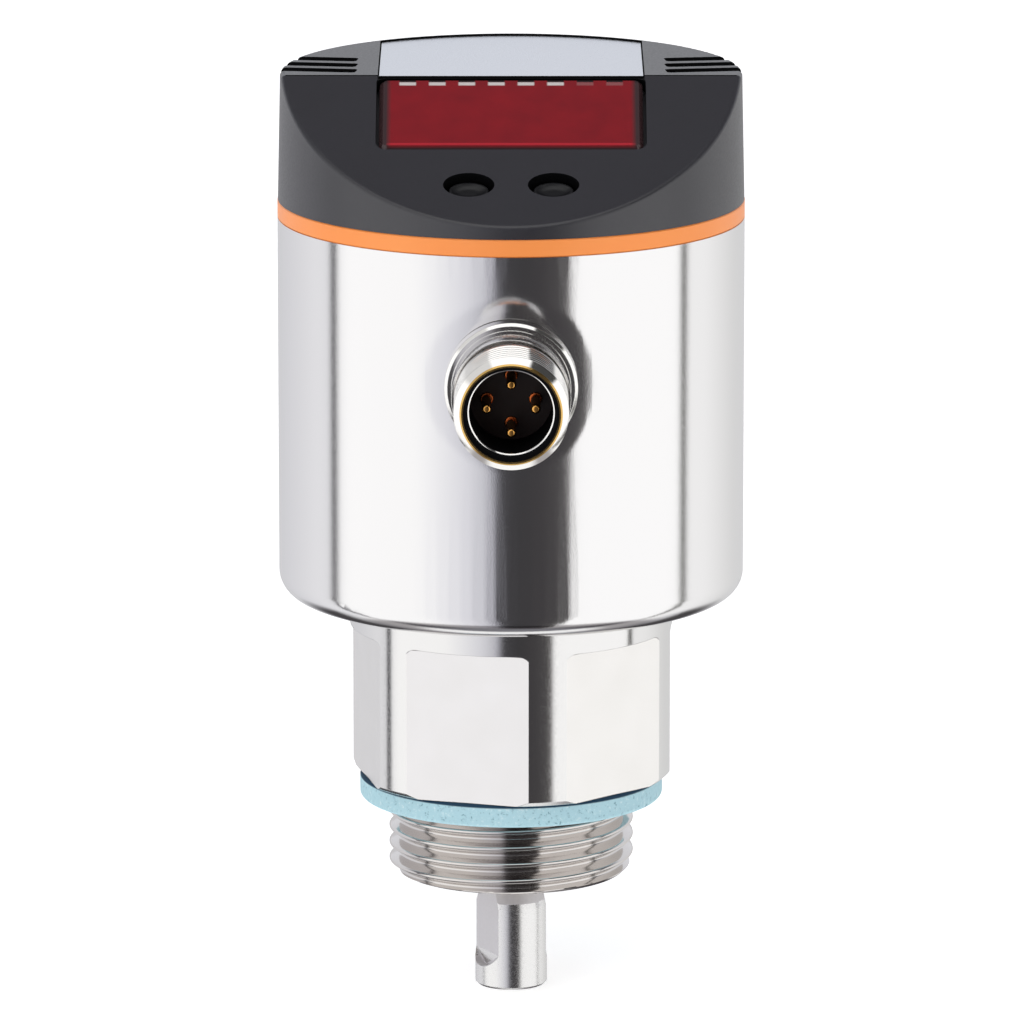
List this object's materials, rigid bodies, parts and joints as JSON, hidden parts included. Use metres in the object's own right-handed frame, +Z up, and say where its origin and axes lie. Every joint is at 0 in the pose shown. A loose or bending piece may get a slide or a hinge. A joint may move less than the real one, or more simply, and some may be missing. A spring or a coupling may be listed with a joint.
{
  "type": "level sensor",
  "caption": "Round stainless level sensor head with a sloped display cap, plug connector, swivelling spanner collar, pipe thread and a short probe coupling stub.",
  "frame": {"origin": "on the upright axis, in the plane of the sealing washer's lower face, where it meets the tank boss", "axes": "+Z up through the head, -Y along the plug connector, +X to the right when facing the connector"},
  "size_m": [0.05, 0.0652, 0.1005],
  "materials": {
    "turned_steel": "fine turned stainless steel",
    "housing_steel": "satin stainless steel",
    "connector_steel": "smooth turned stainless steel",
    "spring_steel": "plain spring steel",
    "screw_steel": "zinc plated steel",
    "fibre_washer": "light blue pressed fibre, speckled",
    "natural_polymer": "natural beige high temperature polymer",
    "slide_polymer": "natural sliding polymer",
    "seal_rubber": "matt black seal rubber",
    "black_polymer": "black glass filled polymer",
    "gilded_pin": "gold plated brass",
    "orange_polymer": "orange moulded polymer",
    "charcoal_polymer": "charcoal moulded polymer with a fine grain",
    "red_window": "deep red tinted clear polymer",
    "plate_aluminium": "satin silver foil plate",
    "board_laminate": "green circuit board laminate",
    "display_black": "dark display face",
    "lamp_white": "milky lamp",
    "switch_polymer": "black switch body",
    "plunger_polymer": "light switch plunger"
  },
  "bodies": {
    "process_fitting": {"process_connection": "turned_steel", "sealing_washer": "fibre_washer", "probe_coupling": "turned_steel", "probe_insulator": "natural_polymer", "probe_o_ring": "seal_rubber", "insulator_clamp": "turned_steel", "probe_washer": "turned_steel", "probe_nut": "turned_steel", "neck_o_ring": "seal_rubber", "slide_washer": "slide_polymer", "stop_ring": "spring_steel", "retaining_ring": "spring_steel"},
    "head": {"housing": "housing_steel", "stop_pin": "spring_steel", "connector_body": "connector_steel", "connector_insert": "black_polymer", "insert_o_ring": "seal_rubber", "contact_pin_1": "gilded_pin", "contact_pin_2": "gilded_pin", "contact_pin_3": "gilded_pin", "contact_pin_4": "gilded_pin", "trim_ring": "orange_polymer", "cap": "charcoal_polymer", "cap_o_ring": "seal_rubber", "display_window": "red_window", "name_plate": "plate_aluminium", "display_board": "board_laminate", "digit_display": "display_black", "status_led_1": "lamp_white", "status_led_2": "lamp_white", "status_led_3": "lamp_white", "status_led_4": "lamp_white", "status_led_5": "lamp_white", "status_led_6": "lamp_white", "status_led_7": "lamp_white", "status_led_8": "lamp_white", "key_switch_left": "switch_polymer", "key_switch_right": "switch_polymer", "display_screw_left": "screw_steel", "display_screw_right": "screw_steel", "board_carrier": "black_polymer", "main_board": "board_laminate"},
    "button_left": {"button_left": "charcoal_polymer", "switch_plunger_left": "plunger_polymer"},
    "button_right": {"button_right": "charcoal_polymer", "switch_plunger_right": "plunger_polymer"}
  },
  "joints": [
    {"name": "head_swivel", "type": "hinge", "parent": "process_fitting", "child": "head", "pos_m": [0, 0, 0.024], "axis": [0, 0, 1], "range_deg": [-172.5, 172.5]},
    {"name": "button_left_press", "type": "slide", "parent": "head", "child": "button_left", "axis": [0, 0.4924, -0.8704], "range_m": [0, 0.0005], "stiffness_N_per_m": 3000},
    {"name": "button_right_press", "type": "slide", "parent": "head", "child": "button_right", "axis": [0, 0.4924, -0.8704], "range_m": [0, 0.0005], "stiffness_N_per_m": 3000}
  ]
}
